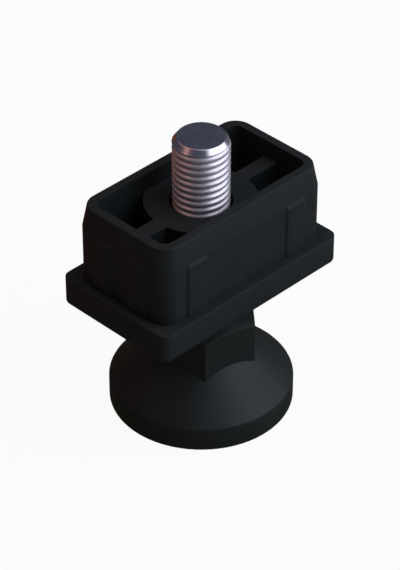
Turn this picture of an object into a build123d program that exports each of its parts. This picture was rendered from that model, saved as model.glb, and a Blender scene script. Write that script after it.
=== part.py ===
"""Adjustable cabinet leg: a plastic insert for a rectangular tube, with a steel nut in its
boss, and a round foot moulded round the head of a threaded steel spindle.

Millimetres, +Z up. The origin is the centre of the foot's underside, X runs along the long
side of the tube. The leg is drawn nearly screwed in, with a short gap over the hexagon.
"""
import os
from math import radians, sqrt, tan

from build123d import *

os.makedirs("parts", exist_ok=True)

# Rectangular tube that the insert closes
tube_width = 50.0
tube_depth = 30.0
tube_wall = 2.0

# Tube insert: cover flange
flange_height = 6.5
flange_corner = 2.1
flange_edge = 0.2

# Tube insert: hollow plug that goes into the tube
plug_height = 17.8
plug_play = 0.1
plug_corner = 3.9
lead_in_height = 5.2
lead_in_slope = 0.75
rim_wall = 2.0
rim_edge = 0.25
floor_thickness = 3.0

# Tube insert: grip pads that press on the tube
pad_rise = 0.4
pad_slope = 0.6
long_pad_width = 6.4
long_pad_place = 14.0
short_pad_width = 6.4
short_pad_place = 4.9

# Tube insert: boss round the spindle, and the webs that hold it
boss_diameter = 23.5
boss_bore = 13.0
boss_drop = 4.0
web_thickness = 3.6

# Steel nut, put into a hexagonal pocket from below
thread_size = 12.0
nut_across_flats = 18.0
nut_height = 10.8
nut_chamfer_angle = 30.0
nut_play = 0.05
nut_recess = 0.6

# Threaded spindle with a turned head
thread_allowance = 0.2
thread_play = 0.1
spindle_top = 65.05
spindle_chamfer = 0.95
spindle_chamfer_height = 1.25
head_diameter = 17.0
head_height = 6.0
head_edge = 0.8
head_seat = 5.0
moulding_play = 0.05

# Foot: round base, cone and hexagon for a spanner
foot_diameter = 38.8
foot_rim_height = 5.45
foot_bottom_edge = 0.5
foot_rim_edge = 0.3
cone_angle = 45.0
hexagon_across_flats = 21.4
hexagon_shoulder = 21.7
hexagon_chamfer_angle = 30.0
hexagon_top_diameter = 16.0
hexagon_turn = 49.0

# Foot: cored underside with radial ribs
foot_rim_wall = 2.5
foot_roof = 3.0
hub_diameter = 22.0
hub_lift = 0.5
rib_count = 6
rib_thickness = 1.8

# Gap between the top of the hexagon and the flange, as the leg is set here
open_gap = 5.25

# Worked-out sizes of the insert
plug_width = tube_width - 2 * tube_wall - 2 * plug_play
plug_depth = tube_depth - 2 * tube_wall - 2 * plug_play
rim_width = plug_width - 2 * lead_in_slope
rim_depth = plug_depth - 2 * lead_in_slope
cavity_width = rim_width - 2 * rim_wall
cavity_depth = rim_depth - 2 * rim_wall
cavity_corner = plug_corner - rim_wall

# Worked-out heights
hexagon_corner = hexagon_across_flats / sqrt(3)
hexagon_top_radius = hexagon_top_diameter / 2
hexagon_top = hexagon_shoulder + (hexagon_corner - hexagon_top_radius) * tan(
    radians(hexagon_chamfer_angle)
)
flange_bottom = hexagon_top + open_gap
flange_top = flange_bottom + flange_height
rim_top = flange_top + plug_height
lead_in_start = rim_top - lead_in_height
boss_top = rim_top - boss_drop
cavity_floor = flange_bottom + floor_thickness
nut_bottom = flange_bottom + nut_recess
nut_top = nut_bottom + nut_height

# Worked-out radii
spindle_radius = (thread_size - thread_allowance) / 2
nut_bore_radius = spindle_radius + thread_play
nut_corner_radius = nut_across_flats / sqrt(3)
head_radius = head_diameter / 2
head_top = head_seat + head_height
foot_radius = foot_diameter / 2
hub_radius = hub_diameter / 2
rim_inner_radius = foot_radius - foot_rim_wall
cone_slope = tan(radians(cone_angle))
roof_drop = foot_roof * sqrt(1 + cone_slope**2)


def cone_height(radius):
    """Height of the foot's cone over the floor at a radius."""
    return foot_rim_height + (foot_radius - radius) * cone_slope


def pad_outline(half_width):
    """Section across the plug through two opposite grip pads."""
    return Polygon(
        (-half_width - pad_rise, flange_top),
        (half_width + pad_rise, flange_top),
        (half_width + pad_rise, lead_in_start - pad_slope),
        (half_width, lead_in_start),
        (-half_width, lead_in_start),
        (-half_width - pad_rise, lead_in_start - pad_slope),
        align=None,
    )


# Tube insert
with BuildPart() as tube_insert:
    # cover flange, flush with the outside of the tube
    with BuildSketch(Plane.XY.offset(flange_bottom)):
        RectangleRounded(tube_width, tube_depth, flange_corner)
    extrude(amount=flange_height)
    flange_edges = tube_insert.faces().filter_by(Axis.Z).edges()
    fillet(flange_edges, radius=flange_edge)

    # plug, straight up to the lead-in and tapered from there to the rim
    with BuildSketch(Plane.XY.offset(flange_top)):
        RectangleRounded(plug_width, plug_depth, plug_corner)
    extrude(amount=plug_height - lead_in_height)
    with BuildSketch(Plane.XY.offset(lead_in_start)):
        RectangleRounded(plug_width, plug_depth, plug_corner)
    with BuildSketch(Plane.XY.offset(rim_top)):
        RectangleRounded(rim_width, rim_depth, plug_corner)
    loft()
    fillet(tube_insert.faces().sort_by(Axis.Z)[-1].outer_wire().edges(), radius=rim_edge)

    # grip pads on the four sides, each with a sloped top
    for place in (-long_pad_place, long_pad_place):
        with BuildSketch(Plane.YZ.offset(place)):
            pad_outline(plug_depth / 2)
        extrude(amount=long_pad_width / 2, both=True)
    for place in (-short_pad_place, short_pad_place):
        with BuildSketch(Plane.XZ.offset(place)):
            pad_outline(plug_width / 2)
        extrude(amount=short_pad_width / 2, both=True)

    # hollow inside, down to the floor over the flange
    with BuildSketch(Plane.XY.offset(cavity_floor)):
        RectangleRounded(cavity_width, cavity_depth, cavity_corner)
    extrude(amount=rim_top - cavity_floor, mode=Mode.SUBTRACT)

    # boss and its two webs, which stand in the hollow below the rim
    with BuildSketch(Plane.XY.offset(cavity_floor)):
        Circle(boss_diameter / 2)
        Rectangle(plug_width - 2 * lead_in_slope, web_thickness)
        RectangleRounded(rim_width, rim_depth, plug_corner, mode=Mode.INTERSECT)
    extrude(amount=boss_top - cavity_floor)

    # clearance bore for the spindle, and the nut's pocket below it
    with Locations((0, 0, flange_bottom)):
        Cylinder(
            boss_bore / 2,
            boss_top - flange_bottom,
            align=(Align.CENTER, Align.CENTER, Align.MIN),
            mode=Mode.SUBTRACT,
        )
    with BuildSketch(Plane.XY.offset(flange_bottom)):
        RegularPolygon(nut_across_flats / 2 + nut_play, 6, major_radius=False)
    extrude(amount=nut_recess + nut_height + nut_play, mode=Mode.SUBTRACT)

tube_insert.part.label = "tube_insert"
export_step(tube_insert.part, "parts/tube_insert.step")

# Steel nut: hexagon with a chamfer on both faces
nut_chamfer_drop = (nut_corner_radius - nut_across_flats / 2) * tan(radians(nut_chamfer_angle))
with BuildPart() as nut:
    with BuildSketch(Plane.XY.offset(nut_bottom)):
        RegularPolygon(nut_across_flats / 2, 6, major_radius=False)
    extrude(amount=nut_height)
    with BuildSketch(Plane.XZ):
        Polygon(
            (0, nut_bottom),
            (nut_across_flats / 2, nut_bottom),
            (nut_corner_radius, nut_bottom + nut_chamfer_drop),
            (nut_corner_radius, nut_top - nut_chamfer_drop),
            (nut_across_flats / 2, nut_top),
            (0, nut_top),
            align=None,
        )
    revolve(axis=Axis.Z, mode=Mode.INTERSECT)
    with Locations((0, 0, nut_bottom)):
        Cylinder(
            nut_bore_radius,
            nut_height,
            align=(Align.CENTER, Align.CENTER, Align.MIN),
            mode=Mode.SUBTRACT,
        )

nut.part.label = "threaded_insert"
export_step(nut.part, "parts/threaded_insert.step")

# Spindle: shank at the thread's crest size, chamfered end, round head held in the foot
with BuildPart() as spindle:
    with BuildSketch(Plane.XZ):
        Polygon(
            (0, head_seat),
            (head_radius - head_edge, head_seat),
            (head_radius, head_seat + head_edge),
            (head_radius, head_top - head_edge),
            (head_radius - head_edge, head_top),
            (spindle_radius, head_top),
            (spindle_radius, spindle_top - spindle_chamfer_height),
            (spindle_radius - spindle_chamfer, spindle_top),
            (0, spindle_top),
            align=None,
        )
    revolve(axis=Axis.Z)

spindle.part.label = "spindle"
export_step(spindle.part, "parts/spindle.step")

# Space under the foot's cone, between hub and rim, with the ribs left standing
with BuildPart() as underside_core:
    with BuildSketch(Plane.XZ):
        Polygon(
            (hub_radius, 0),
            (rim_inner_radius, 0),
            (rim_inner_radius, cone_height(rim_inner_radius) - roof_drop),
            (hub_radius, cone_height(hub_radius) - roof_drop),
            align=None,
        )
    revolve(axis=Axis.Z)
    with BuildSketch(Plane.XY):
        with PolarLocations(0, rib_count, start_angle=hexagon_turn):
            Rectangle(foot_radius, rib_thickness, align=(Align.MIN, Align.CENTER))
    extrude(amount=cone_height(hub_radius), mode=Mode.SUBTRACT)

# Foot
with BuildPart() as foot:
    # hexagon for the spanner, with its chamfered top
    with BuildSketch(Plane.XY):
        RegularPolygon(hexagon_across_flats / 2, 6, major_radius=False, rotation=hexagon_turn)
    extrude(amount=hexagon_top)
    with BuildSketch(Plane.XZ):
        Polygon(
            (0, 0),
            (foot_radius, 0),
            (foot_radius, hexagon_shoulder),
            (hexagon_corner, hexagon_shoulder),
            (hexagon_top_radius, hexagon_top),
            (0, hexagon_top),
            align=None,
        )
    revolve(axis=Axis.Z, mode=Mode.INTERSECT)

    # round base and cone
    with BuildSketch(Plane.XZ):
        Polygon(
            (0, 0),
            (foot_radius, 0),
            (foot_radius, foot_rim_height),
            (hub_radius - foot_rim_wall, cone_height(hub_radius - foot_rim_wall)),
            (0, cone_height(hub_radius - foot_rim_wall)),
            align=None,
        )
    revolve(axis=Axis.Z)
    rim_circles = foot.edges().filter_by(GeomType.CIRCLE)
    rim_circles = rim_circles.filter_by(lambda edge: edge.radius > foot_radius - foot_rim_wall)
    fillet(rim_circles.sort_by(Axis.Z)[0], radius=foot_bottom_edge)
    upper_rim = foot.edges().filter_by(GeomType.CIRCLE)
    upper_rim = upper_rim.filter_by(lambda edge: edge.radius > foot_radius - foot_rim_wall)
    fillet(upper_rim.sort_by(Axis.Z)[-1], radius=foot_rim_edge)

    # cored underside, with the hub just clear of the floor
    add(underside_core.part, mode=Mode.SUBTRACT)
    Cylinder(
        rim_inner_radius,
        hub_lift,
        align=(Align.CENTER, Align.CENTER, Align.MIN),
        mode=Mode.SUBTRACT,
    )

    # the space that the spindle's head and shank fill
    with BuildSketch(Plane.XZ):
        Polygon(
            (0, head_seat - moulding_play),
            (head_radius - head_edge + moulding_play, head_seat - moulding_play),
            (head_radius + moulding_play, head_seat + head_edge - moulding_play),
            (head_radius + moulding_play, head_top - head_edge + moulding_play),
            (head_radius - head_edge + moulding_play, head_top + moulding_play),
            (spindle_radius + moulding_play, head_top + moulding_play),
            (spindle_radius + moulding_play, hexagon_top),
            (0, hexagon_top),
            align=None,
        )
    revolve(axis=Axis.Z, mode=Mode.SUBTRACT)

foot.part.label = "foot"
export_step(foot.part, "parts/foot.step")

print(f"flange {flange_bottom:.2f} to {flange_top:.2f}, rim {rim_top:.2f}, boss {boss_top:.2f}")
print(f"hexagon top {hexagon_top:.2f}, nut {nut_bottom:.2f} to {nut_top:.2f}")
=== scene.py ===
from math import cos, pi, radians, sin, sqrt, tan

import bmesh
import bpy
from mathutils import Matrix, Vector


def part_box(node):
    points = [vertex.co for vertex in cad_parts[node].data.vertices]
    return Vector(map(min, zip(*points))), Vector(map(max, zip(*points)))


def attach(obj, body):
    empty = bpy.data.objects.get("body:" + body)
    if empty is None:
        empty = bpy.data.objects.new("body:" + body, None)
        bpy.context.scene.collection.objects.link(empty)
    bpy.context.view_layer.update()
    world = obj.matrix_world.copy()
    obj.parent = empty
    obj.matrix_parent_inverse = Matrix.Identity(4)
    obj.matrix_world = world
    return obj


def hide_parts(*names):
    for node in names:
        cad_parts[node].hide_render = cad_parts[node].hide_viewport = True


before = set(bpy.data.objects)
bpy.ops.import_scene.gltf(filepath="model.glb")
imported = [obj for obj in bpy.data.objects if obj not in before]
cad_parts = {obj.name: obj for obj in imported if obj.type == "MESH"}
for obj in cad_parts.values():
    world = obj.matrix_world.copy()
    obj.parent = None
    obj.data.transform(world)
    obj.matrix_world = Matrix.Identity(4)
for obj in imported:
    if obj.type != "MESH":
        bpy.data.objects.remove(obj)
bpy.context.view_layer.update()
mm = 0.001
scene = bpy.context.scene


# Blocks and turned solids. Pieces are shaped in millimetres and scaled to metres when finished.

sameHeight = 1e-4  # a vertex this close to a height lies on it
samePoint = 0.0005  # vertices closer than this are merged
overlap = 1.0  # how far a tool shape runs past what it cuts or joins


def meshObject(name, bm):
    bmesh.ops.remove_doubles(bm, verts=bm.verts, dist=samePoint)
    bmesh.ops.recalc_face_normals(bm, faces=bm.faces)
    mesh = bpy.data.meshes.new(name)
    bm.to_mesh(mesh)
    bm.free()
    piece = bpy.data.objects.new(name, mesh)
    scene.collection.objects.link(piece)
    return piece


def roundEdges(bm, edges, radius, steps):
    bmesh.ops.bevel(bm, geom=edges, offset=radius, offset_type="OFFSET", affect="EDGES",
                    segments=steps, profile=0.5, material=-1, clamp_overlap=True)


def roundedBlock(width, depth, bottom, top, corner=0, steps=8):
    bm = bmesh.new()
    bmesh.ops.create_cube(bm, size=1)
    bmesh.ops.scale(bm, vec=(width, depth, top - bottom), verts=bm.verts)
    bmesh.ops.translate(bm, vec=(0, 0, (top + bottom) / 2), verts=bm.verts)
    if corner:
        uprights = [edge for edge in bm.edges
                    if abs((edge.verts[0].co - edge.verts[1].co).z) > sameHeight]
        roundEdges(bm, uprights, corner, steps)
    return bm


def faceAt(bm, height):  # the flat face that closes a block at this height
    return next(face for face in bm.faces
                if all(abs(vert.co.z - height) < sameHeight for vert in face.verts))


def faceEdges(bm, height):  # the edges that lie at this height
    return [edge for edge in bm.edges
            if all(abs(vert.co.z - height) < sameHeight for vert in edge.verts)]


def turnedSolid(outline, steps=128):  # outline of (radius, height), from axis to axis if closed
    bm = bmesh.new()
    verts = [bm.verts.new((radius, 0, height)) for radius, height in outline]
    edges = [bm.edges.new(pair) for pair in zip(verts, verts[1:])]
    bmesh.ops.spin(bm, geom=verts + edges, cent=(0, 0, 0), axis=(0, 0, 1),
                   angle=2 * pi, steps=steps, use_merge=True)
    bmesh.ops.remove_doubles(bm, verts=bm.verts, dist=samePoint)
    bmesh.ops.recalc_face_normals(bm, faces=bm.faces)
    return bm


def vertsOf(geometry):
    return [item for item in geometry if isinstance(item, bmesh.types.BMVert)]


def turnAbout(bm, degrees):  # about the spindle's axis
    bmesh.ops.rotate(bm, cent=(0, 0, 0), matrix=Matrix.Rotation(radians(degrees), 3, "Z"),
                     verts=bm.verts)


def hexagonBlock(acrossFlats, bottom, top, turn):
    bm = bmesh.new()
    bmesh.ops.create_circle(bm, cap_ends=True, segments=6, radius=acrossFlats / sqrt(3))
    turnAbout(bm, turn + 90)
    bmesh.ops.translate(bm, vec=(0, 0, bottom), verts=bm.verts)
    raised = bmesh.ops.extrude_face_region(bm, geom=bm.faces[:])["geom"]
    bmesh.ops.translate(bm, vec=(0, 0, top - bottom), verts=vertsOf(raised))
    bmesh.ops.recalc_face_normals(bm, faces=bm.faces)
    return bm


def addShape(bm, added):
    passing = bpy.data.meshes.new("passing")
    added.to_mesh(passing)
    added.free()
    bm.from_mesh(passing)
    bpy.data.meshes.remove(passing)


def applyModifiers(piece):
    evaluated = piece.evaluated_get(bpy.context.evaluated_depsgraph_get())
    finished = bpy.data.meshes.new_from_object(evaluated)
    plain = piece.data
    piece.modifiers.clear()
    piece.data = finished
    bpy.data.meshes.remove(plain)


def combine(piece, bm, how):
    tool = meshObject(piece.name + "Tool", bm)
    step = piece.modifiers.new("Combine", "BOOLEAN")
    step.object, step.operation, step.solver = tool, how, "EXACT"
    applyModifiers(piece)
    bpy.data.objects.remove(tool)


def dressPiece(piece, material):
    piece.data.transform(Matrix.Scale(mm, 4))
    piece.data.name = piece.name
    piece.data.materials.clear()
    piece.data.materials.append(material)


softening = {"mergeWithin": 0.004, "flatWithin": 0.3, "creaseWithin": 0.01, "segments": 2}


def softenEdges(piece, width, angle, crispHeight=None):
    # outside edges get a small round, inside corners and the crease at crispHeight stay sharp
    bm = bmesh.new()
    bm.from_mesh(piece.data)
    bmesh.ops.remove_doubles(bm, verts=bm.verts, dist=softening["mergeWithin"])
    bmesh.ops.dissolve_degenerate(bm, edges=bm.edges, dist=softening["mergeWithin"])
    bmesh.ops.dissolve_limit(bm, angle_limit=radians(softening["flatWithin"]),
                             verts=bm.verts, edges=bm.edges)
    weight = bm.edges.layers.float.new("bevel_weight_edge")
    for face in bm.faces:
        face.smooth = True
    for edge in bm.edges:
        creased = edge.calc_face_angle(0) > radians(angle)
        crisp = crispHeight is not None and all(
            abs(vert.co.z - crispHeight) < softening["creaseWithin"] for vert in edge.verts)
        edge[weight] = float(creased and edge.is_convex)
        edge.smooth = not crisp and (edge.is_convex or not creased)
    bm.to_mesh(piece.data)
    bm.free()
    soften = piece.modifiers.new("SoftEdges", "BEVEL")
    soften.width, soften.segments = width, softening["segments"]
    soften.limit_method = "WEIGHT"
    soften.use_clamp_overlap = False
    soften.harden_normals = True
    applyModifiers(piece)


# Shader groups that several finishes share.

def newGroup(name, inputs, outputs):
    group = bpy.data.node_groups.new(name, "ShaderNodeTree")
    for label, kind, value in inputs:
        socket = group.interface.new_socket(name=label, in_out="INPUT", socket_type=kind)
        if value is not None:
            socket.default_value = value
    for label, kind in outputs:
        group.interface.new_socket(name=label, in_out="OUTPUT", socket_type=kind)
    return group, group.nodes.new("NodeGroupInput"), group.nodes.new("NodeGroupOutput")


def addNode(tree, kind, links=(), **settings):
    node = tree.nodes.new(kind)
    for name, value in settings.items():
        setattr(node, name, value)
    for socket, source in dict(links).items():
        if isinstance(source, bpy.types.NodeSocket):
            tree.links.new(source, node.inputs[socket])
        else:
            node.inputs[socket].default_value = source
    return node


def calculate(tree, operation, first, second=0.0, clamp=False):
    return addNode(tree, "ShaderNodeMath", {0: first, 1: second},
                   operation=operation, use_clamp=clamp).outputs[0]


def rescale(tree, value, fromLow, fromHigh, toLow=0.0, toHigh=1.0):
    return addNode(tree, "ShaderNodeMapRange",
                   {"Value": value, "From Min": fromLow, "From Max": fromHigh,
                    "To Min": toLow, "To Max": toHigh}).outputs["Result"]


def noise(tree, vector, scale, detail=3.0, roughness=0.55):
    return addNode(tree, "ShaderNodeTexNoise",
                   {"Vector": vector, "Scale": scale, "Detail": detail,
                    "Roughness": roughness}).outputs["Fac"]


grainPattern = {"scale": 5200.0, "fineShare": 0.6, "flowScale": 160.0, "flowShare": 0.4}


def makeMouldGrain(pattern):
    group, given, result = newGroup(
        "mouldGrain",
        [("Vector", "NodeSocketVector", None),
         ("Grain Scale", "NodeSocketFloat", pattern["scale"]),
         ("Flow Scale", "NodeSocketFloat", pattern["flowScale"])],
        [("Height", "NodeSocketFloat"), ("Patch", "NodeSocketFloat")])
    fine = noise(group, given.outputs["Vector"], given.outputs["Grain Scale"], 2.0, 0.6)
    flow = noise(group, given.outputs["Vector"], given.outputs["Flow Scale"], 2.0, 0.5)
    height = calculate(group, "ADD", calculate(group, "MULTIPLY", fine, pattern["fineShare"]),
                       calculate(group, "MULTIPLY", flow, pattern["flowShare"]))
    group.links.new(height, result.inputs["Height"])
    group.links.new(flow, result.inputs["Patch"])
    return group


wearAndSheenPattern = {"width": 0.0003, "breakUp": 900.0, "edgeTurn": (0.995, 0.90),
               "patches": (0.42, 0.62)}


def makeEdgeWearAndSheen(pattern):  # worn edges with a painted edge highlight, where the rounded normal leaves the true one
    group, given, result = newGroup(
        "edgeWearAndSheen",
        [("Vector", "NodeSocketVector", None), ("Width", "NodeSocketFloat", pattern["width"]),
         ("Break Up", "NodeSocketFloat", pattern["breakUp"])],
        [("Mask", "NodeSocketFloat")])
    rounded = addNode(group, "ShaderNodeBevel", {"Radius": given.outputs["Width"]}, samples=4)
    surface = addNode(group, "ShaderNodeNewGeometry")
    turn = addNode(group, "ShaderNodeVectorMath",
                   {0: rounded.outputs["Normal"], 1: surface.outputs["Normal"]},
                   operation="DOT_PRODUCT").outputs["Value"]
    edge = rescale(group, turn, *pattern["edgeTurn"])
    patches = rescale(group, noise(group, given.outputs["Vector"], given.outputs["Break Up"]),
                      *pattern["patches"])
    group.links.new(calculate(group, "MULTIPLY", edge, patches, True), result.inputs["Mask"])
    return group


dustPattern = {
    "amount": 0.1, "facingUp": (0.3, 1.0),
    "cloudScale": 220.0, "clouds": (0.4, 0.75), "cloudShare": 0.7,
    "speckScale": 3800.0, "specks": (0.66, 0.74), "speckShare": 0.5,
}


def makeSettledDust(pattern):
    group, given, result = newGroup(
        "settledDust",
        [("Vector", "NodeSocketVector", None), ("Amount", "NodeSocketFloat", pattern["amount"])],
        [("Mask", "NodeSocketFloat")])
    surface = addNode(group, "ShaderNodeNewGeometry")
    upward = addNode(group, "ShaderNodeSeparateXYZ", {0: surface.outputs["Normal"]}).outputs["Z"]
    facingUp = rescale(group, upward, *pattern["facingUp"])
    clouds = rescale(group, noise(group, given.outputs["Vector"], pattern["cloudScale"], 4.0),
                     *pattern["clouds"])
    specks = rescale(group, noise(group, given.outputs["Vector"], pattern["speckScale"], 1.0),
                     *pattern["specks"])
    mottled = calculate(group, "ADD", calculate(group, "MULTIPLY", clouds, pattern["cloudShare"]),
                        calculate(group, "MULTIPLY", specks, pattern["speckShare"]), True)
    dust = calculate(group, "MULTIPLY", calculate(group, "MULTIPLY", mottled, facingUp),
                     given.outputs["Amount"], True)
    group.links.new(dust, result.inputs["Mask"])
    return group


markPattern = {"lineScale": 3000.0, "stretch": (0.12, 0.12, 1.0), "cloudScale": 260.0}


def makeRolledMarks(pattern):  # fine lines run round the spindle
    group, given, result = newGroup(
        "rolledMarks",
        [("Vector", "NodeSocketVector", None),
         ("Line Scale", "NodeSocketFloat", pattern["lineScale"])],
        [("Height", "NodeSocketFloat"), ("Tone", "NodeSocketFloat")])
    along = addNode(group, "ShaderNodeMapping",
                    {"Vector": given.outputs["Vector"], "Scale": pattern["stretch"]}).outputs[0]
    lines = noise(group, along, given.outputs["Line Scale"], 3.0)
    clouds = noise(group, given.outputs["Vector"], pattern["cloudScale"], 3.0)
    group.links.new(lines, result.inputs["Height"])
    group.links.new(clouds, result.inputs["Tone"])
    return group


print("shader groups")
mouldGrain = makeMouldGrain(grainPattern)
edgeWearAndSheen = makeEdgeWearAndSheen(wearAndSheenPattern)
settledDust = makeSettledDust(dustPattern)
rolledMarks = makeRolledMarks(markPattern)


def newMaterial(name):
    material = bpy.data.materials.new(name)
    material.use_nodes = True
    tree = material.node_tree
    place = addNode(tree, "ShaderNodeTexCoord").outputs["Object"]
    return material, tree, tree.nodes["Principled BSDF"], place


def placeGroup(tree, group, vector, **values):
    node = tree.nodes.new("ShaderNodeGroup")
    node.node_tree = group
    tree.links.new(vector, node.inputs["Vector"])
    for label, value in values.items():
        node.inputs[label].default_value = value
    return node


def mixColour(tree, mask, first, second):
    return addNode(tree, "ShaderNodeMix", {0: mask, 6: first, 7: second},
                   data_type="RGBA").outputs[2]


def wornAndSheenBody(tree, place, body, look):  # the body colour with rubbed edges and a painted edge highlight
    wearAndSheen = placeGroup(tree, edgeWearAndSheen, place, **{"Width": look["wearAndSheenWidth"]})
    # partly wear, partly painted highlight: a lighter colour mixed in along the edges
    return mixColour(tree, calculate(tree, "MULTIPLY", wearAndSheen.outputs["Mask"], look["wearAndSheen"]),
                     body, look["wornAndSheenColour"])


def addBump(tree, shader, height, strength, depth):
    bump = addNode(tree, "ShaderNodeBump", {"Height": height, "Strength": strength,
                                            "Distance": depth})
    tree.links.new(bump.outputs["Normal"], shader.inputs["Normal"])


plasticLook = {
    "colour": (0.0132, 0.0174, 0.0184, 1), "secondColour": (0.0148, 0.0192, 0.0202, 1),
    "wornAndSheenColour": (0.035, 0.037, 0.039, 1), "wearAndSheen": 0.15, "wearAndSheenWidth": 0.0002,
    "dustColour": (0.045, 0.045, 0.045, 1), "dust": 0.05, "dustRoughness": 0.6,
    "patches": (0.3, 0.7), "smoother": 0.03, "rougher": 0.04, "bumpDepth": 0.00002,
}


def blackPlastic(name, look):
    material, tree, shader, place = newMaterial(name)
    grain = placeGroup(tree, mouldGrain, place, **{"Grain Scale": look["grain"]})
    dust = placeGroup(tree, settledDust, place, **{"Amount": look["dust"]})
    patch = rescale(tree, grain.outputs["Patch"], *look["patches"])
    body = mixColour(tree, patch, look["colour"], look["secondColour"])
    dusty = mixColour(tree, dust.outputs["Mask"], wornAndSheenBody(tree, place, body, look),
                      look["dustColour"])
    tree.links.new(dusty, shader.inputs["Base Color"])
    gloss = rescale(tree, grain.outputs["Patch"], *look["patches"],
                    look["roughness"] - look["smoother"], look["roughness"] + look["rougher"])
    dusted = calculate(tree, "MULTIPLY", dust.outputs["Mask"], look["dustRoughness"])
    tree.links.new(calculate(tree, "ADD", gloss, dusted, True), shader.inputs["Roughness"])
    addBump(tree, shader, grain.outputs["Height"], look["bump"], look["bumpDepth"])
    shader.inputs["Specular IOR Level"].default_value = look["specular"]
    return material


steelLook = {"tones": (0.35, 0.65), "marks": (0.3, 0.7), "smoother": 0.04, "rougher": 0.05,
             "bumpDepth": 0.00001}


def platedSteel(name, look):
    material, tree, shader, place = newMaterial(name)
    marks = placeGroup(tree, rolledMarks, place, **{"Line Scale": look["lines"]})
    tone = rescale(tree, marks.outputs["Tone"], *look["tones"])
    plating = mixColour(tree, tone, look["colour"], look["secondColour"])
    colour = wornAndSheenBody(tree, place, plating, look)
    rough = rescale(tree, marks.outputs["Height"], *look["marks"],
                    look["roughness"] - look["smoother"], look["roughness"] + look["rougher"])
    if "thread" in look:
        colour, rough = threadFinish(tree, shader, place, colour, rough, look, look["thread"])
    else:
        shader.inputs["Metallic"].default_value = look["metal"]
    tree.links.new(colour, shader.inputs["Base Color"])
    tree.links.new(rough, shader.inputs["Roughness"])
    addBump(tree, shader, marks.outputs["Height"], look["bump"], look["bumpDepth"])
    return material


def threadFinish(tree, shader, place, colour, rough, look, thread):
    # painted shade deep in the rolled grooves, and a smoother, brighter turned end above them
    across = addNode(tree, "ShaderNodeVectorMath",
                     {0: place, 1: (1.0, 1.0, 0.0)}, operation="MULTIPLY").outputs[0]
    radius = addNode(tree, "ShaderNodeVectorMath", {0: across}, operation="LENGTH")
    groove = rescale(tree, radius.outputs["Value"], *thread["groove"])
    height = addNode(tree, "ShaderNodeSeparateXYZ", {0: place}).outputs["Z"]
    turned = rescale(tree, height, *thread["turned"])
    rolled = calculate(tree, "SUBTRACT", 1.0, turned)
    # painted shade, darker towards the groove roots and only below the turned end
    grooveShade = calculate(tree, "MULTIPLY", calculate(tree, "MULTIPLY", groove, thread["grooveShade"]),
                      rolled, True)
    tree.links.new(rescale(tree, turned, 0.0, 1.0, look["metal"], thread["turnedMetal"]),
                   shader.inputs["Metallic"])
    rougherInGrooves = calculate(tree, "ADD", rough,
                      calculate(tree, "MULTIPLY", grooveShade, thread["grooveShadeRoughness"]))
    smoother = calculate(tree, "MULTIPLY", turned, thread["turnedGloss"])
    return (mixColour(tree, grooveShade, colour, thread["grooveShadeColour"]),
            calculate(tree, "SUBTRACT", rougherInGrooves, smoother, True))


# Tube insert: flange, hollow plug with grip pads, boss on two webs, nut pocket underneath.

tubeInsertSizes = {
    "flange": (50.0, 30.0), "flangeHeight": 6.5, "flangeCorner": 2.1,
    "flangeEdge": 0.2, "flangeUnderEdge": 0.7,
    "plug": (45.8, 25.8), "plugCorner": 3.9, "leadIn": 5.2, "leadInSlope": 0.75,
    "rimWall": 2.0, "rimEdge": 0.25, "floor": 3.0,
    "padRise": 0.4, "padSlope": 0.6, "padRound": 1.2,
    "longPadWidth": 6.4, "longPadPlace": 14.0, "shortPadWidth": 6.4, "shortPadPlace": 4.9,
    "boss": 23.5, "bore": 13.0, "bossDrop": 4.0, "web": 3.6,
    "pocketFlats": 18.1, "pocketHeight": 11.45, "softEdge": 0.08, "softAngle": 30,
}
insertLook = {**plasticLook, "roughness": 0.62, "specular": 0.18, "grain": 5200.0, "bump": 0.15}


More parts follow.
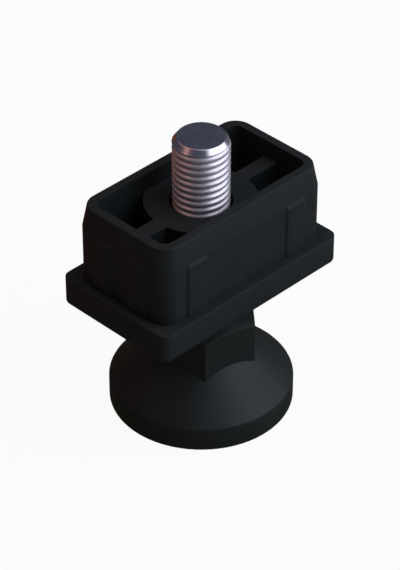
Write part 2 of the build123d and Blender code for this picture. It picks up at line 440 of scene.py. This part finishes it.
def makeTubeInsert(size):
    low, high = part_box("tube_insert")
    bottom, rim = low.z / mm, high.z / mm
    ledge, leadStart = bottom + size["flangeHeight"], rim - size["leadIn"]
    width, depth = size["plug"]
    rooted = ledge - overlap  # plug and pads start inside the flange

    bm = roundedBlock(*size["flange"], bottom, ledge, size["flangeCorner"])
    roundEdges(bm, [*faceAt(bm, ledge).edges], size["flangeEdge"], 4)
    roundEdges(bm, [*faceAt(bm, bottom).edges], size["flangeUnderEdge"], 5)
    piece = meshObject("tubeInsert", bm)

    bm = roundedBlock(width, depth, rooted, leadStart, size["plugCorner"], 12)
    crown = bmesh.ops.extrude_discrete_faces(bm, faces=[faceAt(bm, leadStart)])["faces"][0]
    bmesh.ops.translate(bm, vec=(0, 0, size["leadIn"]), verts=crown.verts)
    slope = size["leadInSlope"]
    for side in ((1, 0), (-1, 0), (0, 1), (0, -1)):  # pull each side of the rim in
        outer = [vert for vert in crown.verts
                 if vert.co.x * side[0] + vert.co.y * side[1] > depth / 4]
        bmesh.ops.translate(bm, vec=(-side[0] * slope, -side[1] * slope, 0), verts=outer)
    roundEdges(bm, list(crown.edges), size["rimEdge"], 4)
    combine(piece, bm, "UNION")

    rise, padTop = size["padRise"], leadStart - size["padSlope"]
    for place, padWidth, across, turn in (  # each block makes the pads of two opposite sides
            (size["longPadPlace"], size["longPadWidth"], depth, 0),
            (-size["longPadPlace"], size["longPadWidth"], depth, 0),
            (size["shortPadPlace"], size["shortPadWidth"], width, 90),
            (-size["shortPadPlace"], size["shortPadWidth"], width, 90)):
        bm = roundedBlock(padWidth, across + 2 * rise, rooted, padTop, size["padRound"])
        crown = faceAt(bm, padTop)
        crown = bmesh.ops.extrude_discrete_faces(bm, faces=[crown])["faces"][0]
        bmesh.ops.translate(bm, vec=(0, 0, size["padSlope"]), verts=crown.verts)
        bmesh.ops.scale(bm, vec=(1, across / (across + 2 * rise), 1), verts=crown.verts)
        bmesh.ops.translate(bm, vec=(place, 0, 0), verts=bm.verts)
        turnAbout(bm, turn)
        combine(piece, bm, "UNION")

    inset = 2 * (slope + size["rimWall"])
    floor, bossTop = bottom + size["floor"], rim - size["bossDrop"]
    above, below, rooted = rim + overlap, bottom - overlap, floor - overlap
    combine(piece, roundedBlock(width - inset, depth - inset, floor, above,
                                size["plugCorner"] - size["rimWall"]), "DIFFERENCE")
    radius = size["boss"] / 2
    combine(piece, turnedSolid([(0, rooted), (radius, rooted), (radius, bossTop),
                                (0, bossTop)]), "UNION")
    combine(piece, roundedBlock(width - inset + size["rimWall"], size["web"], rooted, bossTop),
            "UNION")
    radius = size["bore"] / 2
    combine(piece, turnedSolid([(0, below), (radius, below), (radius, above), (0, above)]),
            "DIFFERENCE")
    combine(piece, hexagonBlock(size["pocketFlats"], below, bottom + size["pocketHeight"], 0),
            "DIFFERENCE")
    softenEdges(piece, size["softEdge"], size["softAngle"], leadStart)
    dressPiece(piece, blackPlastic("insertPlastic", insertLook))
    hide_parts("tube_insert")
    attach(piece, "insert")


print("tube insert")
makeTubeInsert(tubeInsertSizes)


# Steel nut in the pocket.

nutSizes = {"acrossFlats": 18.0, "chamfer": 0.8, "bore": 12.0, "countersink": 0.6,
            "sinkPast": 0.5, "spare": 0.01, "skin": 0.001, "softEdge": 0.1, "softAngle": 25}
nutLook = {
    **steelLook, "colour": (0.50, 0.50, 0.55, 1), "secondColour": (0.58, 0.57, 0.62, 1),
    "wornAndSheenColour": (0.72, 0.72, 0.75, 1), "wearAndSheen": 0.4, "wearAndSheenWidth": 0.0003,
    "metal": 0.9, "roughness": 0.38, "lines": 2600.0, "bump": 0.3,
}


def makeNut(size):
    low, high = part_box("threaded_insert")
    bottom, top = low.z / mm, high.z / mm
    flat, corner = size["acrossFlats"] / 2, size["acrossFlats"] / sqrt(3) + size["spare"]
    bore, sink, past, skin = size["bore"] / 2, size["countersink"], size["sinkPast"], size["skin"]
    piece = meshObject("steelNut", hexagonBlock(size["acrossFlats"], bottom, top, 0))
    combine(piece, turnedSolid([
        (0, bottom - skin), (flat, bottom - skin), (corner, bottom + size["chamfer"]),
        (corner, top - size["chamfer"]), (flat, top + skin), (0, top + skin)]), "INTERSECT")
    combine(piece, turnedSolid([
        (0, bottom - past), (bore + sink + past, bottom - past), (bore, bottom + sink),
        (bore, top - sink), (bore + sink + past, top + past), (0, top + past)]), "DIFFERENCE")
    softenEdges(piece, size["softEdge"], size["softAngle"])
    dressPiece(piece, platedSteel("nutSteel", nutLook))
    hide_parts("threaded_insert")
    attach(piece, "insert")


print("nut")
makeNut(nutSizes)


# Spindle: rolled thread with round crests, chamfered end, head inside the foot.

spindleSizes = {
    "crest": 5.9, "pitch": 1.5, "crestRound": 0.50, "rootRound": 0.05, "flank": 41, "phase": 0.55,
    "threadStart": 20.0, "turnSteps": 120, "turnsBelow": 3, "turnsSpare": 5, "shank": 5.91,
    "chamfer": 0.95, "chamferHeight": 1.25, "endEdge": 0.08, "endPart": 3.2,
    "blankPast": 0.4, "cutPast": 0.6, "mergeWithin": 0.002,
    "headRadius": 8.5, "headHeight": 6.0, "headEdge": 0.8, "crispAngle": 31,
}
spindleLook = {
    **steelLook, "colour": (0.70, 0.67, 0.76, 1), "secondColour": (0.75, 0.72, 0.81, 1),
    "wornAndSheenColour": (0.82, 0.80, 0.88, 1), "wearAndSheen": 0.2, "wearAndSheenWidth": 0.0002,
    "metal": 0.76, "roughness": 0.40, "lines": 3400.0, "bump": 0.2,
    "thread": {
        # painted shade: a dark colour mixed into the thread towards its groove roots
        "grooveShadeColour": (0.05, 0.05, 0.07, 1), "grooveShade": 0.6, "grooveShadeRoughness": 0.2,
        "groove": (0.00560, 0.00545),  # radii in metres, where the painted groove shade starts and where it is full
        "turned": (0.06378, 0.06388),  # heights in metres, from rolled thread to turned end
        "turnedGloss": 0.16, "turnedMetal": 1.0,
    },
}


def threadProfile(size, start):  # one pitch: groove, flank, round crest, flank, groove
    flank, pitch, crestSteps = radians(size["flank"]), size["pitch"], 3
    crestRound, rootRound = size["crestRound"], size["rootRound"]
    straight = pitch / 2 - (crestRound + rootRound) * sin(flank)
    depth = (crestRound + rootRound) * (1 - cos(flank)) + straight * tan(flank)
    root = size["crest"] - depth
    groove = [(root + rootRound * (1 - cos(turn)), rootRound * sin(turn))
              for turn in (0, flank / 2, flank)]
    turns = [flank * step / crestSteps for step in range(-crestSteps, crestSteps + 1)]
    crown = [(size["crest"] - crestRound * (1 - cos(turn)), pitch / 2 + crestRound * sin(turn))
             for turn in turns]
    last = [(radius, pitch - height) for radius, height in reversed(groove)]
    return [(radius, start + height) for radius, height in groove + crown + last]


def cutAt(bm, height, keepAbove):  # cuts the mesh level and returns the open ring
    cut = bmesh.ops.bisect_plane(bm, geom=bm.verts[:] + bm.edges[:] + bm.faces[:],
                                 plane_co=(0, 0, height), plane_no=(0, 0, 1), dist=sameHeight,
                                 clear_inner=keepAbove, clear_outer=not keepAbove)["geom_cut"]
    return [item for item in cut if isinstance(item, bmesh.types.BMEdge)]


def makeSpindle(size):
    low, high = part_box("spindle")
    bottom, top = low.z / mm, high.z / mm
    pitch, steps = size["pitch"], size["turnSteps"]
    turns = int((top - size["threadStart"]) / pitch) + size["turnsSpare"]
    lowest = size["threadStart"] + size["phase"] - size["turnsBelow"] * pitch

    # one pitch of the outline, carried round once and repeated turn after turn
    bm = bmesh.new()
    outline = [bm.verts.new((radius, 0, height)) for radius, height in threadProfile(size, lowest)]
    edges = [bm.edges.new(pair) for pair in zip(outline, outline[1:])]
    bmesh.ops.spin(bm, geom=outline + edges, cent=(0, 0, 0), axis=(0, 0, 1),
                   dvec=(0, 0, pitch / steps), angle=2 * pi, steps=steps, use_merge=False)
    firstTurn = bm.verts[:] + bm.edges[:] + bm.faces[:]
    for turn in range(1, turns):
        copied = bmesh.ops.duplicate(bm, geom=firstTurn)["geom"]
        bmesh.ops.translate(bm, vec=(0, 0, pitch * turn), verts=vertsOf(copied))
    bmesh.ops.remove_doubles(bm, verts=bm.verts, dist=2 * samePoint)
    endPart = bm.copy()

    # the end is turned on the finished thread: top face, chamfer and a fine edge between them
    level, past = top - size["endPart"], size["blankPast"]
    for height, keepAbove in ((level, True), (top + size["cutPast"], False)):
        bmesh.ops.contextual_create(endPart, geom=cutAt(endPart, height, keepAbove))
    piece = meshObject("threadedSpindle", endPart)
    slope = size["chamfer"] / size["chamferHeight"]
    wide, deep = size["crest"] + past, level - overlap
    blank = turnedSolid([(0, deep), (wide, deep),
                         (wide, top - size["chamferHeight"] - past / slope),
                         (size["crest"] - size["chamfer"], top), (0, top)], steps)
    rims = [edge for edge in faceEdges(blank, top)
            if edge.calc_face_angle(0) > radians(size["crispAngle"])]
    roundEdges(blank, rims, size["endEdge"], 3)
    combine(piece, blank, "INTERSECT")

    # thread below the end, bridged to the plain shank and its head
    cutAt(bm, level, False)
    ring = cutAt(bm, size["threadStart"], True)
    radius, edge, headTop = size["headRadius"], size["headEdge"], bottom + size["headHeight"]
    head = turnedSolid([(0, bottom), (radius - edge, bottom), (radius, bottom + edge),
                        (radius, headTop - edge), (radius - edge, headTop),
                        (size["shank"], headTop), (size["shank"], size["threadStart"])], steps)
    marked = set(bm.verts)
    addShape(bm, head)
    openEnd = [item for item in bm.edges if item.is_boundary and not marked & set(item.verts)]
    bmesh.ops.bridge_loops(bm, edges=ring + openEnd)

    marked = set(bm.verts)
    bm.from_mesh(piece.data)
    caps = [face for face in bm.faces if not marked & set(face.verts)
            and all(abs(vert.co.z - level) < 10 * sameHeight for vert in face.verts)]
    bmesh.ops.delete(bm, geom=caps, context="FACES")
    bmesh.ops.remove_doubles(bm, verts=bm.verts, dist=size["mergeWithin"])
    bmesh.ops.recalc_face_normals(bm, faces=bm.faces)
    for face in bm.faces:
        face.smooth = True
    bm.to_mesh(piece.data)
    bm.free()
    piece.data.set_sharp_from_angle(angle=radians(size["crispAngle"]))
    even = piece.modifiers.new("EvenNormals", "WEIGHTED_NORMAL")
    even.keep_sharp = True
    applyModifiers(piece)
    dressPiece(piece, platedSteel("spindleSteel", spindleLook))
    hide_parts("spindle")
    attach(piece, "spindle")


print("spindle")
makeSpindle(spindleSizes)


# Foot: round base, cone and spanner hexagon, cored from below between hub, ribs and rim.

footSizes = {
    "radius": 19.4, "rimHeight": 5.45, "bottomEdge": 0.5, "rimEdge": 0.3,
    "hexagon": 21.4, "hexagonTurn": 49.0, "shoulder": 21.7, "topRadius": 8.0,
    "rimWall": 2.5, "roof": 3.0, "hub": 11.0, "hubLift": 0.5,
    "ribs": 6, "rib": 1.8, "ribFrom": 9.0,
    "headRadius": 8.55, "headBottom": 4.95, "headTop": 11.05, "headEdge": 0.8, "shaft": 5.95,
    "softEdge": 0.08, "softAngle": 25,
}
footLook = {**plasticLook, "roughness": 0.52, "specular": 0.28, "grain": 4600.0, "bump": 0.12}


def makeFoot(size):
    low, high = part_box("foot")
    bottom, top = low.z / mm, high.z / mm
    radius, rimHeight = size["radius"], bottom + size["rimHeight"]

    def coneHeight(at):  # the cone falls at 45 degrees
        return rimHeight + radius - at

    piece = meshObject("levellingFoot",
                       hexagonBlock(size["hexagon"], bottom + overlap, top, size["hexagonTurn"]))
    corner = size["hexagon"] / sqrt(3)
    combine(piece, turnedSolid([
        (0, bottom), (radius, bottom), (radius, size["shoulder"]), (corner, size["shoulder"]),
        (size["topRadius"], top), (0, top)]), "INTERSECT")

    inner = size["hub"] - size["rimWall"]
    bm = turnedSolid([(0, bottom), (radius, bottom), (radius, rimHeight),
                      (inner, coneHeight(inner)), (0, coneHeight(inner))], 160)
    for height, width, steps in ((bottom, size["bottomEdge"], 4), (rimHeight, size["rimEdge"], 3)):
        rims = [edge for edge in faceEdges(bm, height)
                if all(abs(vert.co.xy.length - radius) < 10 * sameHeight for vert in edge.verts)]
        roundEdges(bm, rims, width, steps)
    combine(piece, bm, "UNION")

    # coring: a ring under the cone, less the ribs that stay
    rimInside, hub, below = radius - size["rimWall"], size["hub"], bottom - overlap
    drop = size["roof"] * sqrt(2)
    core = meshObject("core", turnedSolid([(0, below), (rimInside, below),
                                           (rimInside, coneHeight(rimInside) - drop),
                                           (hub, coneHeight(hub) - drop),
                                           (0, coneHeight(hub) - drop)]))
    ribs = bmesh.new()
    for rib in range(size["ribs"]):
        bar = roundedBlock(radius - size["ribFrom"], size["rib"], below - overlap, coneHeight(hub))
        bmesh.ops.translate(bar, vec=((radius + size["ribFrom"]) / 2, 0, 0), verts=bar.verts)
        turnAbout(bar, size["hexagonTurn"] + 360 / size["ribs"] * rib)
        addShape(ribs, bar)
    combine(core, ribs, "DIFFERENCE")
    combine(core, turnedSolid([(0, below - overlap), (hub, below - overlap), (hub, top),
                               (0, top)]), "DIFFERENCE")
    cored = bmesh.new()
    cored.from_mesh(core.data)
    bpy.data.objects.remove(core)
    combine(piece, cored, "DIFFERENCE")
    lift = bottom + size["hubLift"]  # hub and ribs stay clear of the floor
    combine(piece, turnedSolid([(0, below), (rimInside, below), (rimInside, lift), (0, lift)]),
            "DIFFERENCE")

    # room for the spindle's moulded-in head and shaft
    edge, headRadius = size["headEdge"], size["headRadius"]
    combine(piece, turnedSolid([
        (0, size["headBottom"]), (headRadius - edge, size["headBottom"]),
        (headRadius, size["headBottom"] + edge), (headRadius, size["headTop"] - edge),
        (headRadius - edge, size["headTop"]), (size["shaft"], size["headTop"]),
        (size["shaft"], top + overlap), (0, top + overlap)], 96), "DIFFERENCE")
    softenEdges(piece, size["softEdge"], size["softAngle"])
    dressPiece(piece, blackPlastic("footPlastic", footLook))
    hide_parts("foot")
    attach(piece, "foot")


print("foot")
makeFoot(footSizes)


# Floor, lamps and camera. The paper floor is white to the camera and keeps the leg's shadow.
# Reflections see painted light and shade on it: a painted shadow near the leg, a painted pool of
# light on the lit side, painted copper-brown light on the far side.

floorLook = {
    "radius": 6.0, "paper": (0.80, 0.81, 0.82, 1), "cameraWhite": 0.94,
    # painted tones seen only in reflections: a painted shadow near the leg, painted lit and warm
    # light further out
    "shadeColour": (0.055, 0.050, 0.030, 1), "nearShadeReach": (0.060, 0.085),
    "litColour": (0.26, 0.25, 0.29, 1), "litSide": -55, "litFacing": (0.1, 0.95),
    "warmLightColour": (0.165, 0.044, 0.014, 1), "warmLightFacing": (-0.3, -0.75),
    "warmLightReach": (0.9, 0.3), "warmLightShare": (0.3, 1.0),
}


def seenInMirror(tree):
    rays = addNode(tree, "ShaderNodeLightPath").outputs
    mirrored = calculate(tree, "MAXIMUM", rays["Is Glossy Ray"], rays["Is Transmission Ray"])
    return rays["Is Camera Ray"], mirrored


def makeFloor(look):
    bm = bmesh.new()
    bmesh.ops.create_circle(bm, cap_ends=True, segments=64, radius=look["radius"] / mm)
    floor = meshObject("floor", bm)
    floor.data.transform(Matrix.Scale(mm, 4))
    material = bpy.data.materials.new("floorPaper")
    material.use_nodes = True
    material.cycles.emission_sampling = "NONE"
    tree = material.node_tree
    tree.nodes.remove(tree.nodes["Principled BSDF"])
    toCamera, mirrored = seenInMirror(tree)
    paper = addNode(tree, "ShaderNodeBsdfDiffuse", {"Color": look["paper"]})
    white = addNode(tree, "ShaderNodeEmission", {"Color": (1, 1, 1, 1), "Strength": 1.0})
    share = calculate(tree, "MULTIPLY", toCamera, look["cameraWhite"])
    seen = addNode(tree, "ShaderNodeMixShader", {0: share, 1: paper.outputs[0],
                                                 2: white.outputs[0]})
    place = addNode(tree, "ShaderNodeTexCoord").outputs["Object"]
    outward = addNode(tree, "ShaderNodeVectorMath", {0: place}, operation="NORMALIZE").outputs[0]
    reach = addNode(tree, "ShaderNodeVectorMath", {0: place}, operation="LENGTH").outputs["Value"]
    lit = radians(look["litSide"])
    facing = addNode(tree, "ShaderNodeVectorMath", {0: outward, 1: (cos(lit), sin(lit), 0)},
                     operation="DOT_PRODUCT").outputs["Value"]
    pastNearShade = rescale(tree, reach, *look["nearShadeReach"])
    litShare = calculate(tree, "MULTIPLY", rescale(tree, facing, *look["litFacing"]), pastNearShade)
    warmLightShare = calculate(tree, "MULTIPLY", rescale(tree, facing, *look["warmLightFacing"]), pastNearShade)
    warmLightShare = calculate(tree, "MULTIPLY", warmLightShare,
                          rescale(tree, reach, *look["warmLightReach"], *look["warmLightShare"]))
    # painted shadow near the leg, painted pools of lit and warm light beyond it
    tone = mixColour(tree, litShare, look["shadeColour"], look["litColour"])
    tone = mixColour(tree, warmLightShare, tone, look["warmLightColour"])
    paintedMirrorLight = addNode(tree, "ShaderNodeEmission", {"Color": tone, "Strength": 1.0})
    mixed = addNode(tree, "ShaderNodeMixShader", {0: mirrored, 1: seen.outputs[0],
                                                  2: paintedMirrorLight.outputs[0]})
    tree.links.new(mixed.outputs[0], tree.nodes["Material Output"].inputs["Surface"])
    floor.data.materials.append(material)
    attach(floor, "spindle")  # stays under the foot as the leg is wound out or in


def makeLamp(name, azimuth, elevation, distance, size, power, colour, aim):
    turn, lift = radians(azimuth), radians(elevation)
    back = Vector((cos(turn) * cos(lift), sin(turn) * cos(lift), sin(lift)))
    lamp = bpy.data.lights.new(name, "AREA")
    lamp.shape, lamp.size, lamp.size_y = "RECTANGLE", size[0], size[1]
    lamp.energy, lamp.color = power, colour
    stand = bpy.data.objects.new(name, lamp)
    stand.location = aim + back * distance
    stand.rotation_euler = (-back).to_track_quat("-Z", "Y").to_euler()
    scene.collection.objects.link(stand)


skyLook = {"white": (1, 1, 1, 1), "around": (0.02, 0.02, 0.025, 1),
           "mirrored": (0.045, 0.055, 0.075, 1)}


def makeSky(look):
    world = bpy.data.worlds.new("studio")
    scene.world = world
    world.use_nodes = True
    world.cycles.sampling_method = "NONE"
    tree = world.node_tree
    toCamera, mirrored = seenInMirror(tree)
    tone = mixColour(tree, mirrored, look["around"], look["mirrored"])
    tree.links.new(mixColour(tree, toCamera, tone, look["white"]),
                   tree.nodes["Background"].inputs["Color"])


print("floor, lamps and camera")
makeFloor(floorLook)
makeSky(skyLook)
lampAim = Vector((0, 0.00035, 0.030))
lamps = [
    # name, azimuth, elevation, distance, size, power, colour
    ("keyLamp", -57, 32, 0.50, (0.68, 0.54), 2.1, (0.93, 0.97, 1.0)),
    ("topLamp", -57, 75, 0.50, (0.40, 0.40), 0.75, (0.80, 0.83, 1.0)),
    ("warmLamp", 130, 56, 0.50, (0.60, 0.40), 0.52, (1.0, 0.50, 0.34)),
]
for name, azimuth, elevation, distance, size, power, colour in lamps:
    makeLamp(name, azimuth, elevation, distance, size, power, colour, lampAim)

cameraSettings = {
    "place": (-0.31546, -0.31530, 0.36456), "aim": (0.0, 0.00035, 0.02798),
    "lens": 171.65, "sensor": 36.0, "clip": (0.01, 20.0),
}


def makeCamera(settings):
    camera = bpy.data.cameras.new("camera")
    camera.lens, camera.sensor_width = settings["lens"], settings["sensor"]
    camera.clip_start, camera.clip_end = settings["clip"]
    viewer = bpy.data.objects.new("camera", camera)
    viewer.location = settings["place"]
    sight = Vector(settings["aim"]) - Vector(settings["place"])
    viewer.rotation_euler = sight.to_track_quat("-Z", "Y").to_euler()
    scene.collection.objects.link(viewer)
    scene.camera = viewer


makeCamera(cameraSettings)
scene.view_settings.view_transform = "Standard"
